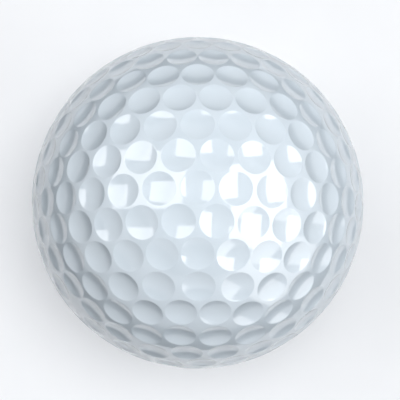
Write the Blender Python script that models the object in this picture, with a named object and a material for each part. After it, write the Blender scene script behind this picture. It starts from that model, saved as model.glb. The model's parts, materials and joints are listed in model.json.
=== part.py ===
"""Golf ball: a five-layer ball whose dimpled cover is moulded in two halves.

Run with: blender --background --python part.py
Units are metres, +Z is up and the ball's centre is the origin.
"""
import math

import bmesh
import bpy
import numpy as np
from mathutils import Vector, geometry

# ball and layers, metres
BALL_DIAMETER = 0.04267
R = BALL_DIAMETER / 2
COVER_WALL = 0.00110
OUTER_MANTLE_WALL = 0.00120
INNER_MANTLE_WALL = 0.00130
OUTER_CORE_WALL = 0.00470
BOND_GAP = 0.00005           # between one layer and the next
SEAM_GAP = 0.00005           # between the two halves of a layer

# dimples; angles in degrees, seen from the ball's centre
DIMPLE_REACH = 5.15          # from a dimple's centre to its rim
DIMPLE_DEPTH = 0.00035       # metres, below the sphere, at full reach
LEAST_LAND = 0.28            # least land between two rims
RIM_POINTS = 8
FLOOR_POINTS = 4
FLOOR_REACH = 0.52           # floor ring, as a share of the reach
FLOOR_DEPTH = 0.86           # floor ring, as a share of the depth

# dimple layout; angles in degrees
PITCH = 11.15                # between neighbours on the hexagonal cap
CAP_TILT = 10.4              # the cap's middle leans from +Z toward +Y
CAP_SHIFT = 0.31             # rows move by this share of the pitch
CAP_ROWS = range(-3, 8)
CAP_COLUMNS = range(-9, 10)
CAP_REACH = 83.0
ROW_TILT = 5.0
# rows under the cap: latitude, step, first longitude, widest longitude
LOWER_ROWS = (
    (-30.6, 11.8, 5.9, 41.0),
    (-40.4, 14.3, 7.1, 52.0),
    (-51.0, 17.8, -4.8, 45.0),
    (-60.3, 22.4, 1.8, 30.0),
)
SEAM_ROW_COUNT = 33
SEAM_ROW_HEIGHT = 5.45       # latitude of the row beside the parting line
SEAM_CLEARANCE = 12.5        # cap and rows stay above this latitude
CROWDED = 0.80               # a new dimple needs this share of the pitch
FILL_SPREAD = 0.76           # gaps wider than this share of the pitch are filled
SEARCH_SPOTS = 4000
SETTLE_STEPS = 300
SETTLE_RATE = 0.02
HOME_PULL = 0.08             # how firmly the planned rows keep their places

# mesh resolution
SEAM_POINTS = 66             # around the parting line, outside
SEGMENTS = 20                # around every inner sphere
RINGS = 10                   # from pole to pole
SHARP_ANGLE = 40.0           # degrees

# material of each layer: colour, roughness
FINISHES = {
    "cover": ((0.88, 0.90, 0.92, 1.0), 0.12),
    "outer_mantle": ((0.75, 0.76, 0.72, 1.0), 0.45),
    "inner_mantle": ((0.16, 0.42, 0.62, 1.0), 0.45),
    "outer_core": ((0.78, 0.24, 0.10, 1.0), 0.70),
    "inner_core": ((0.90, 0.62, 0.12, 1.0), 0.70),
}


# ---------------------------------------------------------------- layout

def tilted(points, degrees):
    """Turn points about X, so that +Z leans toward +Y."""
    c, s = math.cos(math.radians(degrees)), math.sin(math.radians(degrees))
    x, y, z = np.array(points).T
    return np.stack([x, y * c + z * s, z * c - y * s], axis=1)


def hexagonal_cap():
    """A hexagonal lattice wrapped over the top, with its rows along X."""
    pitch = math.radians(PITCH)
    points = []
    for row in CAP_ROWS:
        for column in CAP_COLUMNS:
            x = pitch * (column + 0.5 * (row % 2) + 0.5)
            y = pitch * (row * math.sqrt(0.75) + CAP_SHIFT)
            arc = math.hypot(x, y)
            if arc < math.radians(CAP_REACH):
                side = math.sin(arc) / arc
                points.append((side * x, side * y, math.cos(arc)))
    return tilted(points, CAP_TILT)


def lower_rows():
    """Rows along parallels, between the cap and the parting line."""
    points = []
    for latitude, step, first, widest in LOWER_ROWS:
        up = math.radians(latitude)
        for column in CAP_COLUMNS:
            longitude = first + step * column
            if abs(longitude) <= widest:
                turn = math.radians(longitude)
                points.append((math.cos(up) * math.sin(turn), math.sin(up),
                               math.cos(up) * math.cos(turn)))
    return tilted(points, -ROW_TILT)


def seam_row():
    """The even row of dimples beside the parting line."""
    turn = np.arange(SEAM_ROW_COUNT) * 2 * math.pi / SEAM_ROW_COUNT + math.pi / 2
    up = math.radians(SEAM_ROW_HEIGHT)
    return np.stack([math.cos(up) * np.cos(turn), math.cos(up) * np.sin(turn),
                     np.full(SEAM_ROW_COUNT, math.sin(up))], axis=1)


def lower_copy(points):
    """The lower half's layout: the upper one turned over about X.

    An odd seam row puts each lower dimple between two upper ones.
    """
    return points * (1, -1, -1)


def spiral_spots():
    """Many even spots over the top half, to look for gaps with."""
    step = np.arange(SEARCH_SPOTS) + 0.5
    z = step / SEARCH_SPOTS
    turn = step * math.pi * (3 - math.sqrt(5))
    side = np.sqrt(1 - z * z)
    spots = np.stack([side * np.cos(turn), side * np.sin(turn), z], axis=1)
    return spots[z > math.sin(math.radians(SEAM_ROW_HEIGHT + 3))]


def distances(points, others):
    return np.linalg.norm(points[:, None] - others[None], axis=2)


def settle(points, fixed, pull):
    """Push crowded dimples apart; `pull` holds each one near its start."""
    home = points.copy()
    pitch = math.radians(PITCH)
    own = np.arange(len(points))
    for _ in range(SETTLE_STEPS):
        others = np.vstack([points, lower_copy(points)])
        apart = distances(points, others)
        apart[own, own] = math.inf
        away = (points[:, None] - others[None]) / apart[..., None]
        push = (away * ((pitch / apart) ** 10)[..., None]).sum(axis=1)
        push /= np.maximum(1.0, np.linalg.norm(push, axis=1, keepdims=True))
        move = SETTLE_RATE * pitch * push + pull[:, None] * (home - points)
        move[:fixed] = 0
        points = points + move
        points /= np.linalg.norm(points, axis=1, keepdims=True)
    return points


def dimple_layout():
    """Dimple centres of the top half (unit vectors) and each one's reach."""
    placed = list(seam_row())
    fixed = len(placed)
    pitch = math.radians(PITCH)
    for point in np.vstack([hexagonal_cap(), lower_rows()]):
        nearest = np.linalg.norm(np.array(placed) - point, axis=1).min()
        if point[2] > math.sin(math.radians(SEAM_CLEARANCE)) and nearest > CROWDED * pitch:
            placed.append(point)
    planned = len(placed)

    spots = spiral_spots()
    gap = distances(spots, np.array(placed)).min(axis=1)
    while gap.max() > FILL_SPREAD * pitch:
        placed.append(spots[gap.argmax()])
        gap = np.minimum(gap, np.linalg.norm(spots - placed[-1], axis=1))

    pull = np.zeros(len(placed))
    pull[fixed:planned] = HOME_PULL
    centres = settle(np.array(placed), fixed, pull)

    apart = distances(centres, np.vstack([centres, lower_copy(centres)]))
    apart[np.arange(len(centres)), np.arange(len(centres))] = math.inf
    half_way = np.degrees(np.arcsin(apart.min(axis=1) / 2))
    reach = np.minimum(DIMPLE_REACH, half_way - LEAST_LAND / 2)
    return centres, np.radians(reach)


# ---------------------------------------------------------------- meshes

def ring_directions(centre, reach, count):
    """Unit vectors on a circle of angular radius `reach` around `centre`."""
    centre = Vector(centre)
    side = centre.cross((0, 0, 1) if abs(centre.z) < 0.9 else (0, 1, 0)).normalized()
    other = centre.cross(side)
    turns = [2 * math.pi * k / count for k in range(count)]
    return [centre * math.cos(reach) + (side * math.cos(t) + other * math.sin(t)) * math.sin(reach)
            for t in turns]


def dimpled_surface():
    """Points and triangles of the upper half's outer surface, seam ring first."""
    seam_up = math.asin(SEAM_GAP / 2 / R)
    directions = ring_directions((0, 0, 1), math.pi / 2 - seam_up, SEAM_POINTS)
    radii = [R] * SEAM_POINTS
    rims = [loop_edges(0, SEAM_POINTS)]
    for centre, reach in zip(*dimple_layout()):
        rims.append(loop_edges(len(directions), RIM_POINTS))
        directions += ring_directions(centre, reach, RIM_POINTS)
        directions += ring_directions(centre, reach * FLOOR_REACH, FLOOR_POINTS)
        depth = DIMPLE_DEPTH * (reach / math.radians(DIMPLE_REACH)) ** 2
        radii += [R] * RIM_POINTS + [R - depth * FLOOR_DEPTH] * FLOOR_POINTS

    # seen from the bottom pole, circles on the ball stay circles on a plane
    flat = [Vector((d.x, d.y)) / (1 + d.z) for d in directions]
    edges = [edge for rim in rims for edge in rim]
    result = geometry.delaunay_2d_cdt(flat, edges, [], 0, 1e-7)
    triangles, sources = result[2], result[3]
    points = [d * r for d, r in zip(directions, radii)]
    return points, [[sources[v][0] for v in triangle] for triangle in triangles]


def loop_edges(first, count):
    return [(first + k, first + (k + 1) % count) for k in range(count)]


def add_hemisphere(bm, radius):
    """Upper half of a sphere, cut off just above the parting plane; returns its rim."""
    made = bmesh.ops.create_uvsphere(bm, u_segments=SEGMENTS, v_segments=RINGS, radius=radius)
    faces = list({face for vert in made["verts"] for face in vert.link_faces})
    edges = list({edge for face in faces for edge in face.edges})
    cut = bmesh.ops.bisect_plane(bm, geom=made["verts"] + edges + faces, dist=1e-9,
                                 plane_co=(0, 0, SEAM_GAP / 2), plane_no=(0, 0, 1), clear_inner=True)
    return [item for item in cut["geom_cut"] if isinstance(item, bmesh.types.BMEdge)]


def close_half(bm, rims):
    """Fill the flat parting face between an outer and an inner rim."""
    bmesh.ops.triangle_fill(bm, edges=rims, normal=(0, 0, -1), use_beauty=True)
    bmesh.ops.recalc_face_normals(bm, faces=bm.faces)


def half_shell_mesh(name, outer_radius, inner_radius):
    bm = bmesh.new()
    rims = add_hemisphere(bm, outer_radius) + add_hemisphere(bm, inner_radius)
    close_half(bm, rims)
    return finished_mesh(name, bm)


def cover_mesh(name, inner_radius):
    bm = bmesh.new()
    points, triangles = dimpled_surface()
    verts = [bm.verts.new(point) for point in points]
    for triangle in triangles:
        bm.faces.new([verts[i] for i in triangle])
    rim = [bm.edges.get((verts[a], verts[b])) for a, b in loop_edges(0, SEAM_POINTS)]
    close_half(bm, rim + add_hemisphere(bm, inner_radius))
    return finished_mesh(name, bm)


def ball_mesh(name, radius):
    bm = bmesh.new()
    bmesh.ops.create_uvsphere(bm, u_segments=SEGMENTS, v_segments=RINGS, radius=radius)
    return finished_mesh(name, bm)


def finished_mesh(name, bm):
    mesh = bpy.data.meshes.new(name)
    bm.to_mesh(mesh)
    bm.free()
    mesh.shade_smooth()
    mesh.set_sharp_from_angle(angle=math.radians(SHARP_ANGLE))
    mesh.materials.append(layer_material(name))
    return mesh


def layer_material(layer):
    colour, roughness = FINISHES[layer]
    material = bpy.data.materials.new(layer)
    material.use_nodes = True
    shader = material.node_tree.nodes["Principled BSDF"]
    shader.inputs["Base Color"].default_value = colour
    shader.inputs["Roughness"].default_value = roughness
    shader.inputs["Metallic"].default_value = 0.0
    return material


# ---------------------------------------------------------------- assembly

def place(name, mesh, parent, upside_down=False):
    piece = bpy.data.objects.new(name, mesh)
    piece.parent = parent
    piece.rotation_euler.x = math.pi if upside_down else 0.0
    bpy.context.collection.objects.link(piece)


def main():
    for old in list(bpy.data.objects):
        bpy.data.objects.remove(old, do_unlink=True)
    ball = bpy.data.objects.new("golf_ball", None)
    bpy.context.collection.objects.link(ball)

    inside = R - COVER_WALL
    meshes = {"cover": cover_mesh("cover", inside)}
    for layer, wall in (("outer_mantle", OUTER_MANTLE_WALL),
                        ("inner_mantle", INNER_MANTLE_WALL),
                        ("outer_core", OUTER_CORE_WALL)):
        outside = inside - BOND_GAP
        inside = outside - wall
        meshes[layer] = half_shell_mesh(layer, outside, inside)
    for layer, mesh in meshes.items():
        place(layer + "_upper", mesh, ball)
        place(layer + "_lower", mesh, ball, upside_down=True)
    place("inner_core", ball_mesh("inner_core", inside - BOND_GAP), ball)


main()
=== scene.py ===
import json
import math

import bpy
import numpy as np
from mathutils import Matrix, Vector, geometry


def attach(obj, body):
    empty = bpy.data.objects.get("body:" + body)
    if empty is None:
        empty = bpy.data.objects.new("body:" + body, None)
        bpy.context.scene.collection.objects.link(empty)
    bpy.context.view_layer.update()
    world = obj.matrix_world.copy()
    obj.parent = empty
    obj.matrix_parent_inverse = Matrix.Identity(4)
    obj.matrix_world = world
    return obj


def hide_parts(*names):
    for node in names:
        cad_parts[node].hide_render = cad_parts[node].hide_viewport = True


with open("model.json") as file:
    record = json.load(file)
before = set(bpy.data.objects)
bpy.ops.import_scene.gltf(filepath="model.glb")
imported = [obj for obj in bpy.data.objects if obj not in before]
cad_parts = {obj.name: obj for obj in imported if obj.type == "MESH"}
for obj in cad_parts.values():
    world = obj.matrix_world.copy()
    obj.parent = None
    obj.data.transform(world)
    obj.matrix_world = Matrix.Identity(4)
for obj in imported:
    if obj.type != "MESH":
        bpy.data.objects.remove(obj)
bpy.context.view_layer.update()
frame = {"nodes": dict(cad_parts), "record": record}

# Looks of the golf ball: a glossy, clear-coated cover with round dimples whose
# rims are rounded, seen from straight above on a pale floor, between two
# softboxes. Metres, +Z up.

MM = 0.001
R = frame["record"]["size"]["bbox_m"][0] / 2

# dimples; angles in degrees, seen from the ball's centre
DIMPLE_REACH = 5.15              # half of a full-width dimple
DIMPLE_DEPTH = 0.35 * MM         # of a full-width dimple, below the sphere
RIM_RADIUS = 0.30 * MM           # rounding of each rim
LEAST_LAND = 0.28                # between two rims
AROUND = 28                      # mesh points round a dimple
DISH_RINGS = 5
RIM_RINGS = 3

# the dimple layout, as in the CAD; angles in degrees
PITCH = 11.15                    # of the hexagonal cap
CAP_TILT = 10.4
CAP_SHIFT = 0.31                 # toward +Y, in pitches
CAP_ROWS = range(-3, 8)
CAP_COLUMNS = range(-9, 10)
CAP_REACH = 83.0                 # from the top, before the tilt
ROW_TILT = 5.0                   # of the rows under the cap
# rows under the cap: latitude, step, first longitude, widest longitude
LOWER_ROWS = (
    (-30.6, 11.8, 5.9, 41.0),
    (-40.4, 14.3, 7.1, 52.0),
    (-51.0, 17.8, -4.8, 45.0),
    (-60.3, 22.4, 1.8, 30.0),
)
SEAM_ROW_COUNT = 33              # dimples beside the parting line
SEAM_ROW_HEIGHT = 5.45           # above the parting plane
SEAM_CLEARANCE = 12.5            # least height of the cap's and rows' dimples
CROWDED = 0.80                   # least distance to a placed dimple, in pitches
FILL_SPREAD = 0.76               # a wider gap gets one more dimple, in pitches
SEARCH_SPOTS = 4000
SEARCH_MARGIN = 3                # gaps are looked for this far above the seam row
SETTLE_STEPS = 300
SETTLE_RATE = 0.02
SETTLE_POWER = 10                # how fast the push fades with distance
HOME_PULL = 0.08                 # share of the way back, at each step

# cover shell
COVER_WALL = 1.10 * MM
SEAM_GAP = 0.01 * MM
SEAM_POINTS = 132
SEAM_START = math.pi / 2         # turn of the first mesh point and the first dimple
INSIDE_RINGS = 12
TRIANGULATION_LIMIT = 1e-9

# camera: a lens and distance that give the ball its outline and perspective
CAMERA_DISTANCE = 5.1 * R
LENS = 74.6
SENSOR = 36.0
SHIFT = (0.0058, 0.0070)
CLIP = (0.01, 10)

# finishes: scales are in features per metre; each ROUGHNESS is a scale and the
# least and greatest roughness, and each BUMPS is a scale and a height
PAINT = ((0.73, 0.78, 0.83, 1), (0.75, 0.795, 0.84, 1))
PAINT_MOTTLING = 140
PAINT_ROUGHNESS = (900, 0.36, 0.44)
PAINT_BUMPS = (1800, 0.002 * MM)
MATT_SPECULAR = 0.1              # of the paint, the paper and the card
COAT_IOR = 2.3
COAT_ROUGHNESS = 0.03
COAT_TINT = (0.92, 0.97, 1, 1)
OUTER_MANTLE = (0.75, 0.76, 0.72)
INNER_MANTLE = (0.16, 0.42, 0.62)
IONOMER_STREAKS = (220, 5)       # scale and detail
STREAK_SHADE = 0.9               # against the ionomer's own colour
IONOMER_ROUGHNESS = (700, 0.40, 0.52)
IONOMER_BUMPS = (1500, 0.01 * MM)
OUTER_CORE = (0.78, 0.24, 0.10)
INNER_CORE = (0.90, 0.62, 0.12)
RUBBER_SPECKS = (2600, 2)        # scale and detail
SPECK_SPAN = (0.62, 0.70)        # part of the noise that shows as specks
SPECK_GAIN, SPECK_LIFT = 1.15, 0.05
RUBBER_ROUGHNESS = (900, 0.62, 0.78)
RUBBER_BUMPS = (2000, 0.02 * MM)

# finishes of the stage
PAPER = ((0.83, 0.84, 0.86, 1), (0.85, 0.86, 0.88, 1))
PAPER_MOTTLING = 60
PAPER_ROUGHNESS = (PAPER_MOTTLING, 0.85, 0.95)
CARD_GREYS = (0.02, 0.45)        # near the ball and far from it
CARD_FADE = (0.20, 0.60)         # between these distances one turns into the other
CARD_ROUGHNESS = 0.9
GLOW = ((0.88, 0.89, 0.92, 1), (0.90, 0.91, 0.94, 1))    # of the walls
GLOW_MOTTLING = 2
GLOW_BASE = (0.02, 0.02, 0.02, 1)

# stage
FLOOR_HALF = 2.5
CARD_HOLE = 0.084                # radius
CARD_LIFT = 0.0005
BAND_POINTS = 96
WALL_HEIGHT = 2.0
# round walls: name, radius and glow
CAMERA_WALL = ("backdrop", FLOOR_HALF, 1.0)
MIRRORED_WALL = ("mirrored_wall", 0.96 * FLOOR_HALF, 0.5)

# the surroundings: colours, and where each one is reached, on a scale from
# straight below (0) to straight above (1)
BELOW = (0.95, 0.97, 1.0, 1)
SIDES = (0.05, 0.055, 0.06, 1)
CEILING = (0.11, 0.115, 0.12, 1)
BELOW_END = 0.10
SIDES_SPAN = (0.24, 0.65)
CEILING_START = 0.95
CEILING_LEAN = (0.15, 0.15, 1)   # toward the middle of the ceiling

# softboxes: lean to the right and up, half width and half height, in degrees
# seen from the ball; radiance; distance in metres; what they light; and
# whether reflections see them
LEFT_BOX = (-33, 17, 24, 18)
RIGHT_BOX = (40, -2, 19, 26)
SOFTBOXES = (
    ("left_softbox", LEFT_BOX, 0.2, 0.60, "all", True),
    ("left_face", LEFT_BOX, 1.2, 0.66, "nothing", True),
    ("right_softbox", RIGHT_BOX, 0.55, 0.60, "all", True),
    ("right_face", RIGHT_BOX, 1.2, 0.66, "nothing", True),
    ("right_fill", (66, -62, 24, 20), 0.85, 0.90, "ball", True),
    ("overhead", (6, 9, 18, 18), 7.2, 0.19, "ball", False),
)
# far soft lights on the floor and the card: lean to the right and up, and irradiance
FLOOR_SUNS = ((8, 8, 2.22), (-33, 17, 0.64), (40, -2, 0.26))
FLOOR_SUN_WIDTH = 42


# ---------------------------------------------------------------- layout

def circle(count, start=0.0):
    """Even unit vectors round the Z axis."""
    turn = np.arange(count) * 2 * math.pi / count + start
    return np.stack([np.cos(turn), np.sin(turn), np.zeros(count)], axis=1)


def tilted(points, degrees):
    """Turn points about X, so that +Z leans toward +Y."""
    c, s = math.cos(math.radians(degrees)), math.sin(math.radians(degrees))
    x, y, z = np.array(points).T
    return np.stack([x, y * c + z * s, z * c - y * s], axis=1)


def hexagonal_cap():
    """A hexagonal lattice wrapped over the top, with its rows along X."""
    pitch = math.radians(PITCH)
    points = []
    for row in CAP_ROWS:
        for column in CAP_COLUMNS:
            x = pitch * (column + 0.5 * (row % 2) + 0.5)
            y = pitch * (row * math.sqrt(0.75) + CAP_SHIFT)
            arc = math.hypot(x, y)
            if arc < math.radians(CAP_REACH):
                side = math.sin(arc) / arc
                points.append((side * x, side * y, math.cos(arc)))
    return tilted(points, CAP_TILT)


def lower_rows():
    """Rows along parallels, between the cap and the parting line."""
    points = []
    for latitude, step, first, widest in LOWER_ROWS:
        up = math.radians(latitude)
        for column in CAP_COLUMNS:
            longitude = first + step * column
            if abs(longitude) <= widest:
                turn = math.radians(longitude)
                points.append((math.cos(up) * math.sin(turn), math.sin(up),
                               math.cos(up) * math.cos(turn)))
    return tilted(points, -ROW_TILT)


def seam_row():
    """The even row of dimples beside the parting line."""
    up = math.radians(SEAM_ROW_HEIGHT)
    return circle(SEAM_ROW_COUNT, SEAM_START) * math.cos(up) + (0, 0, math.sin(up))


def lower_copy(points):
    """The lower half's layout: the upper one turned over about X.

    An odd seam row puts each lower dimple between two upper ones.
    """
    return points * (1, -1, -1)


def spiral_spots():
    """Many even spots over the top half, to look for gaps with."""
    step = np.arange(SEARCH_SPOTS) + 0.5
    z = step / SEARCH_SPOTS
    turn = step * math.pi * (3 - math.sqrt(5))
    side = np.sqrt(1 - z * z)
    spots = np.stack([side * np.cos(turn), side * np.sin(turn), z], axis=1)
    return spots[z > math.sin(math.radians(SEAM_ROW_HEIGHT + SEARCH_MARGIN))]


def distances(points, others):
    return np.linalg.norm(points[:, None] - others[None], axis=2)


def settle(points, fixed, pull):
    """Push crowded dimples apart; `pull` holds each one near its start."""
    home = points.copy()
    pitch = math.radians(PITCH)
    own = np.arange(len(points))
    for _ in range(SETTLE_STEPS):
        others = np.vstack([points, lower_copy(points)])
        apart = distances(points, others)
        apart[own, own] = math.inf
        away = (points[:, None] - others[None]) / apart[..., None]
        push = (away * ((pitch / apart) ** SETTLE_POWER)[..., None]).sum(axis=1)
        push /= np.maximum(1.0, np.linalg.norm(push, axis=1, keepdims=True))
        move = SETTLE_RATE * pitch * push + pull[:, None] * (home - points)
        move[:fixed] = 0
        points = points + move
        points /= np.linalg.norm(points, axis=1, keepdims=True)
    return points


def dimple_layout():
    """Dimple centres of the top half (unit vectors) and each one's reach."""
    placed = list(seam_row())
    fixed = len(placed)
    pitch = math.radians(PITCH)
    for point in np.vstack([hexagonal_cap(), lower_rows()]):
        nearest = np.linalg.norm(np.array(placed) - point, axis=1).min()
        if point[2] > math.sin(math.radians(SEAM_CLEARANCE)) and nearest > CROWDED * pitch:
            placed.append(point)
    planned = len(placed)

    spots = spiral_spots()
    gap = distances(spots, np.array(placed)).min(axis=1)
    while gap.max() > FILL_SPREAD * pitch:
        placed.append(spots[gap.argmax()])
        gap = np.minimum(gap, np.linalg.norm(spots - placed[-1], axis=1))

    pull = np.zeros(len(placed))
    pull[fixed:planned] = HOME_PULL
    centres = settle(np.array(placed), fixed, pull)

    apart = distances(centres, np.vstack([centres, lower_copy(centres)]))
    own = np.arange(len(centres))
    apart[own, own] = math.inf
    half_way = np.degrees(np.arcsin(apart.min(axis=1) / 2))
    reach = np.minimum(DIMPLE_REACH, half_way - LEAST_LAND / 2)
    return list(zip(centres, np.radians(reach)))


# ---------------------------------------------------------------- cover mesh

def placed_object(name, data):
    thing = bpy.data.objects.new(name, data)
    bpy.context.collection.objects.link(thing)
    return thing


def dimple_profile(reach):
    """Height of a dimple's middle above the ball's centre, and the rings from there
    to its rim: distance from the dimple's axis, height, and the normal's lean.

    A concave dish meets the sphere in a convex rim rounding, tangent to both.
    """
    full = math.radians(DIMPLE_REACH)
    depth = DIMPLE_DEPTH * (reach / full) ** 2
    across = (R - RIM_RADIUS) * math.sin(reach)
    up = (R - RIM_RADIUS) * math.cos(reach)
    drop = R - depth - up
    dish = (across ** 2 + drop ** 2 - RIM_RADIUS ** 2) / (2 * (RIM_RADIUS - drop))
    edge = math.atan2(across, drop + dish)
    bottom = R - depth
    rings = []
    for k in range(1, DISH_RINGS + 1):
        lean = edge * k / DISH_RINGS
        rings.append((dish * math.sin(lean), bottom + dish * (1 - math.cos(lean)), -lean))
    for k in range(1, RIM_RINGS + 1):
        lean = -edge + (edge + reach) * k / RIM_RINGS
        rings.append((across + RIM_RADIUS * math.sin(lean),
                      up + RIM_RADIUS * math.cos(lean), lean))
    return bottom, rings


def dimple_points(centre, reach):
    """Points and normals of one dimple, middle first and rim last."""
    side = np.cross(centre, (0, 0, 1) if abs(centre[2]) < 0.9 else (0, 1, 0))
    side /= np.linalg.norm(side)
    other = np.cross(centre, side)
    turn = np.arange(AROUND) * 2 * math.pi / AROUND
    spokes = np.outer(np.cos(turn), side) + np.outer(np.sin(turn), other)
    bottom, rings = dimple_profile(reach)
    points, normals = [centre[None] * bottom], [centre[None]]
    for out, height, lean in rings:
        points.append(centre * height + spokes * out)
        normals.append(centre * math.cos(lean) + spokes * math.sin(lean))
    return np.vstack(points), np.vstack(normals)


def dimple_faces(first):
    """The fan at the middle of a dimple and the strips up to its rim."""
    faces = []
    for k in range(AROUND):
        nxt = (k + 1) % AROUND
        faces.append((first, first + 1 + k, first + 1 + nxt))
        for ring in range(DISH_RINGS + RIM_RINGS - 1):
            low = first + 1 + ring * AROUND
            faces.append((low + k, low + AROUND + k, low + AROUND + nxt, low + nxt))
    return faces


def land_faces(points, owners, rings):
    """Triangles between the rims, found on a plane where circles stay circles."""
    ids = np.array([i for ring in rings for i in ring])
    flat = points[ids] / np.linalg.norm(points[ids], axis=1, keepdims=True)
    flat = flat[:, :2] / (1 + flat[:, 2:])
    edges, start = [], 0
    for ring in rings:
        edges += [(start + k, start + (k + 1) % len(ring)) for k in range(len(ring))]
        start += len(ring)
    result = geometry.delaunay_2d_cdt([Vector(p) for p in flat], edges, [], 0,
                                       TRIANGULATION_LIMIT)
    triangles = [[int(ids[result[3][v][0]]) for v in triangle] for triangle in result[2]]
    return [t for t in triangles if owners[t[0]] < 0 or len({owners[v] for v in t}) > 1]


def outer_skin(dimples):
    """Points, normals and faces of the dimpled outside, down to the parting plane."""
    seam = circle(SEAM_POINTS, SEAM_START)
    points = [seam * R + (0, 0, SEAM_GAP / 2)]
    normals = [seam]
    owners = [-1] * SEAM_POINTS
    rings = [list(range(SEAM_POINTS))]
    faces = []
    size = 1 + AROUND * (DISH_RINGS + RIM_RINGS)
    for k, (centre, reach) in enumerate(dimples):
        first = SEAM_POINTS + k * size
        dimple, leaning = dimple_points(centre, reach)
        points.append(dimple)
        normals.append(leaning)
        owners += [k] * size
        faces += dimple_faces(first)
        rings.append(list(range(first + size - AROUND, first + size)))
    points = np.vstack(points)
    faces += land_faces(points, owners, rings)
    return points, np.vstack(normals), faces


def inner_wall(first):
    """Points of the smooth inside, and faces that join it to the parting line."""
    seam = circle(SEAM_POINTS, SEAM_START)
    inside = R - COVER_WALL
    points = []
    for ring in range(INSIDE_RINGS):
        up = math.pi / 2 * ring / INSIDE_RINGS
        height = max(inside * math.sin(up), SEAM_GAP / 2)
        points.append(seam * inside * math.cos(up) + (0, 0, height))
    points.append([(0, 0, inside)])
    faces = []
    pole = first + INSIDE_RINGS * SEAM_POINTS
    for k in range(SEAM_POINTS):
        nxt = (k + 1) % SEAM_POINTS
        faces.append((k, first + k, first + nxt, nxt))
        for ring in range(INSIDE_RINGS - 1):
            low = first + ring * SEAM_POINTS
            faces.append((low + k, low + SEAM_POINTS + k, low + SEAM_POINTS + nxt, low + nxt))
        faces.append((pole - SEAM_POINTS + k, pole, pole - SEAM_POINTS + nxt))
    return np.vstack(points), faces


def cover_half(name, dimples, flipped):
    """One dimpled half of the cover, as a closed shell."""
    points, normals, faces = outer_skin(dimples)
    outside = len(faces)
    more_points, more_faces = inner_wall(len(points))
    points = np.vstack([points, more_points])
    faces += more_faces
    if flipped:
        points, normals = lower_copy(points), lower_copy(normals)
    mesh = bpy.data.meshes.new(name)
    mesh.from_pydata(points.tolist(), [], faces)
    mesh.shade_smooth()
    smooth = []
    for k, face in enumerate(faces):
        smooth += [tuple(normals[v]) if k < outside else (0, 0, 0) for v in face]
    mesh.normals_split_custom_set(smooth)
    return placed_object(name, mesh)


# ---------------------------------------------------------------- materials

def new_material(name):
    material = bpy.data.materials.new(name)
    material.use_nodes = True
    tree = material.node_tree
    return material, tree, tree.nodes["Principled BSDF"]


def noise(tree, scale, detail=3.0):
    """Noise over object space."""
    place = tree.nodes.new("ShaderNodeTexCoord")
    texture = tree.nodes.new("ShaderNodeTexNoise")
    texture.inputs["Scale"].default_value = scale
    texture.inputs["Detail"].default_value = detail
    tree.links.new(place.outputs["Object"], texture.inputs["Vector"])
    return texture.outputs["Fac"]


def ramp(tree, factor, low, high, start=0.3, end=0.7):
    """Blend between two colours, or two greys given as numbers.

    Most of a noise lies between the default start and end.
    """
    node = tree.nodes.new("ShaderNodeValToRGB")
    for element, value, position in zip(node.color_ramp.elements, (low, high), (start, end)):
        element.color = value if isinstance(value, tuple) else (value, value, value, 1)
        element.position = position
    tree.links.new(factor, node.inputs["Fac"])
    return node.outputs["Color"]


def vary_roughness(tree, shader, scale, least, greatest):
    varied = ramp(tree, noise(tree, scale), least, greatest)
    tree.links.new(varied, shader.inputs["Roughness"])


def bump(tree, shader, scale, height):
    node = tree.nodes.new("ShaderNodeBump")
    node.inputs["Strength"].default_value = 1.0
    node.inputs["Distance"].default_value = height
    tree.links.new(noise(tree, scale), node.inputs["Height"])
    tree.links.new(node.outputs["Normal"], shader.inputs["Normal"])


def cover_material():
    """White paint under a clear coat: faint mottling in the white, and a coat
    that follows the paint's slight unevenness only a little."""
    material, tree, shader = new_material("painted_cover")
    paint = ramp(tree, noise(tree, PAINT_MOTTLING), *PAINT)
    tree.links.new(paint, shader.inputs["Base Color"])
    vary_roughness(tree, shader, *PAINT_ROUGHNESS)
    bump(tree, shader, *PAINT_BUMPS)
    shader.inputs["Specular IOR Level"].default_value = MATT_SPECULAR
    shader.inputs["Coat Weight"].default_value = 1.0
    shader.inputs["Coat Roughness"].default_value = COAT_ROUGHNESS
    shader.inputs["Coat IOR"].default_value = COAT_IOR
    shader.inputs["Coat Tint"].default_value = COAT_TINT
    return material


def ionomer_material(name, colour):
    """Moulded ionomer layer: waxy, with faint flow streaks."""
    material, tree, shader = new_material(name)
    darker = tuple(STREAK_SHADE * c for c in colour) + (1,)
    streaks = ramp(tree, noise(tree, *IONOMER_STREAKS), darker, colour + (1,))
    tree.links.new(streaks, shader.inputs["Base Color"])
    vary_roughness(tree, shader, *IONOMER_ROUGHNESS)
    bump(tree, shader, *IONOMER_BUMPS)
    return material


def rubber_material(name, colour):
    """Cured core rubber: matt and speckled with filler."""
    material, tree, shader = new_material(name)
    paler = tuple(min(1.0, SPECK_GAIN * c + SPECK_LIFT) for c in colour) + (1,)
    specks = ramp(tree, noise(tree, *RUBBER_SPECKS), colour + (1,), paler, *SPECK_SPAN)
    tree.links.new(specks, shader.inputs["Base Color"])
    vary_roughness(tree, shader, *RUBBER_ROUGHNESS)
    bump(tree, shader, *RUBBER_BUMPS)
    return material


def floor_material():
    """Pale matt paper."""
    material, tree, shader = new_material("pale_floor")
    tone = ramp(tree, noise(tree, PAPER_MOTTLING), *PAPER)
    tree.links.new(tone, shader.inputs["Base Color"])
    vary_roughness(tree, shader, *PAPER_ROUGHNESS)
    shader.inputs["Specular IOR Level"].default_value = MATT_SPECULAR
    return material


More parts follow.
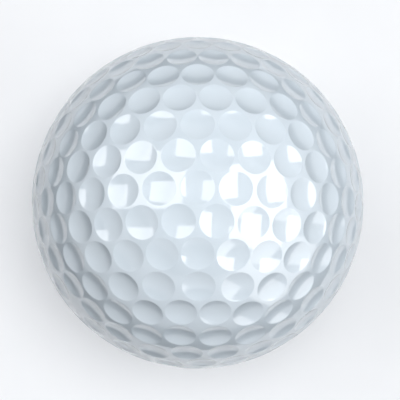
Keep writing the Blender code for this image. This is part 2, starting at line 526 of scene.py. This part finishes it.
def card_material():
    """Nearly black near the ball, and paler far from it."""
    material, tree, shader = new_material("dark_card")
    place = tree.nodes.new("ShaderNodeTexCoord")
    away = tree.nodes.new("ShaderNodeVectorMath")
    away.operation = "LENGTH"
    tree.links.new(place.outputs["Object"], away.inputs[0])
    tone = ramp(tree, away.outputs["Value"], *CARD_GREYS, *CARD_FADE)
    tree.links.new(tone, shader.inputs["Base Color"])
    shader.inputs["Roughness"].default_value = CARD_ROUGHNESS
    shader.inputs["Specular IOR Level"].default_value = MATT_SPECULAR
    return material


def glowing_material(name, strength):
    """A pale glow; at full strength it is as bright as the lit floor."""
    material, tree, shader = new_material(name)
    glow = ramp(tree, noise(tree, GLOW_MOTTLING), *GLOW)
    tree.links.new(glow, shader.inputs["Emission Color"])
    shader.inputs["Emission Strength"].default_value = strength
    shader.inputs["Base Color"].default_value = GLOW_BASE
    shader.inputs["Roughness"].default_value = 1.0
    return material


def dress_layers():
    """The layers inside keep their CAD shapes and get their own finishes."""
    finishes = {
        "outer_mantle": ionomer_material("outer_mantle_ionomer", OUTER_MANTLE),
        "inner_mantle": ionomer_material("inner_mantle_ionomer", INNER_MANTLE),
        "outer_core": rubber_material("outer_core_rubber", OUTER_CORE),
        "inner_core": rubber_material("inner_core_rubber", INNER_CORE),
    }
    for node, piece in frame["nodes"].items():
        for layer, material in finishes.items():
            if node.startswith(layer):
                piece.material_slots[0].material = material


# ---------------------------------------------------------------- stage

def stage_piece(name, corners, faces, material):
    mesh = bpy.data.meshes.new(name)
    mesh.from_pydata(corners, [], faces)
    mesh.materials.append(material)
    piece = placed_object(name, mesh)
    return piece


def round_band(name, low, high, material):
    """A band between two level circles, each given as radius and height."""
    corners = np.vstack([circle(BAND_POINTS) * radius + (0, 0, height)
                         for radius, height in (low, high)])
    faces = []
    for k in range(BAND_POINTS):
        nxt = (k + 1) % BAND_POINTS
        faces.append((k, BAND_POINTS + k, BAND_POINTS + nxt, nxt))
    return stage_piece(name, corners.tolist(), faces, material)


def floor_and_card():
    """The pale floor, which casts no shadow so that the glow below reaches the
    ball, and over it a dark card with a round hole, seen only by reflections:
    it draws the dark shapes in the outer dimples."""
    half = FLOOR_HALF
    corners = [(-half, -half, -R), (half, -half, -R), (half, half, -R), (-half, half, -R)]
    ground = stage_piece("floor", corners, [(0, 1, 2, 3)], floor_material())
    ground.visible_diffuse = ground.visible_shadow = False

    height = CARD_LIFT - R
    card = round_band("black_card", (CARD_HOLE, height), (half, height), card_material())
    card.visible_camera = card.visible_shadow = card.visible_diffuse = False
    return ground, card


def walls():
    """A wall that only the camera sees, and a dimmer one only for reflections."""
    for seen, (name, radius, glow) in (("camera", CAMERA_WALL), ("glossy", MIRRORED_WALL)):
        low, high = (radius, -R), (radius, WALL_HEIGHT)
        wall = round_band(name, low, high, glowing_material(name, glow))
        wall.visible_shadow = wall.visible_diffuse = False
        wall.visible_camera = seen == "camera"
        wall.visible_glossy = seen == "glossy"


def add_light(name, kind, lean_right, lean_up, distance):
    """A light aimed at the ball, with its sides along X and Y."""
    direction = Vector((math.tan(math.radians(lean_right)), math.tan(math.radians(lean_up)), 1))
    direction.normalize()
    side = Vector((0, 1, 0)).cross(direction).normalized()
    light = placed_object(name, bpy.data.lights.new(name, kind))
    turn = Matrix((side, direction.cross(side), direction)).transposed().to_4x4()
    light.matrix_world = Matrix.Translation(direction * distance) @ turn
    light.visible_camera = False
    return light


def light_only(light, pieces):
    """Make a light reach these pieces and nothing else."""
    group = bpy.data.collections.new(light.name + "_receivers")
    for piece in pieces:
        group.objects.link(piece)
    light.light_linking.receiver_collection = group


def softboxes(skins):
    """Rectangular lights; those for the ball alone reach only `skins`."""
    for name, (lean_right, lean_up, *half), radiance, distance, lit, mirrored in SOFTBOXES:
        light = add_light(name, "AREA", lean_right, lean_up, distance)
        data = light.data
        data.shape = "RECTANGLE"
        data.size, data.size_y = (2 * distance * math.tan(math.radians(v)) for v in half)
        data.energy = radiance * math.pi * data.size * data.size_y
        light.visible_glossy = mirrored
        light.visible_diffuse = lit != "nothing"
        if lit == "ball":
            light_only(light, skins)


def floor_suns(paper):
    """Broad lights that reach only the floor and the card."""
    for k, (lean_right, lean_up, irradiance) in enumerate(FLOOR_SUNS):
        light = add_light("floor_sun_%d" % k, "SUN", lean_right, lean_up, 1.0)
        light.data.energy = irradiance
        light.data.angle = math.radians(FLOOR_SUN_WIDTH)
        light_only(light, paper)


def surroundings():
    """A dim ceiling, dark sides and a glow from straight below."""
    world = bpy.data.worlds.new("studio")
    bpy.context.scene.world = world
    world.use_nodes = True
    tree = world.node_tree
    toward = tree.nodes.new("ShaderNodeTexCoord")
    height = tree.nodes.new("ShaderNodeVectorMath")
    height.operation = "DOT_PRODUCT"
    height.inputs[1].default_value = Vector(CEILING_LEAN).normalized()
    tree.links.new(toward.outputs["Generated"], height.inputs[0])
    scaled = tree.nodes.new("ShaderNodeMapRange")
    scaled.inputs["From Min"].default_value = -1.0
    tree.links.new(height.outputs["Value"], scaled.inputs["Value"])
    colours = ramp(tree, scaled.outputs["Result"], BELOW, CEILING, BELOW_END, CEILING_START)
    for position in SIDES_SPAN:
        colours.node.color_ramp.elements.new(position).color = SIDES
    tree.links.new(colours, tree.nodes["Background"].inputs["Color"])


def camera():
    """Straight above the ball."""
    data = bpy.data.cameras.new("camera")
    data.lens, data.sensor_width = LENS, SENSOR
    data.shift_x, data.shift_y = SHIFT
    data.clip_start, data.clip_end = CLIP
    eye = placed_object("camera", data)
    eye.location = (0, 0, CAMERA_DISTANCE)
    bpy.context.scene.camera = eye
    bpy.context.scene.view_settings.view_transform = "Standard"


# ---------------------------------------------------------------- assembly

white = cover_material()
dimples = dimple_layout()
skins = []
for half in ("upper", "lower"):
    skin = cover_half("dimpled_cover_" + half, dimples, flipped=half == "lower")
    skins.append(skin)
    skin.data.materials.append(white)
    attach(skin, "root")
    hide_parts("cover_" + half)
dress_layers()
paper = floor_and_card()
walls()
softboxes(skins)
floor_suns(paper)
surroundings()
camera()
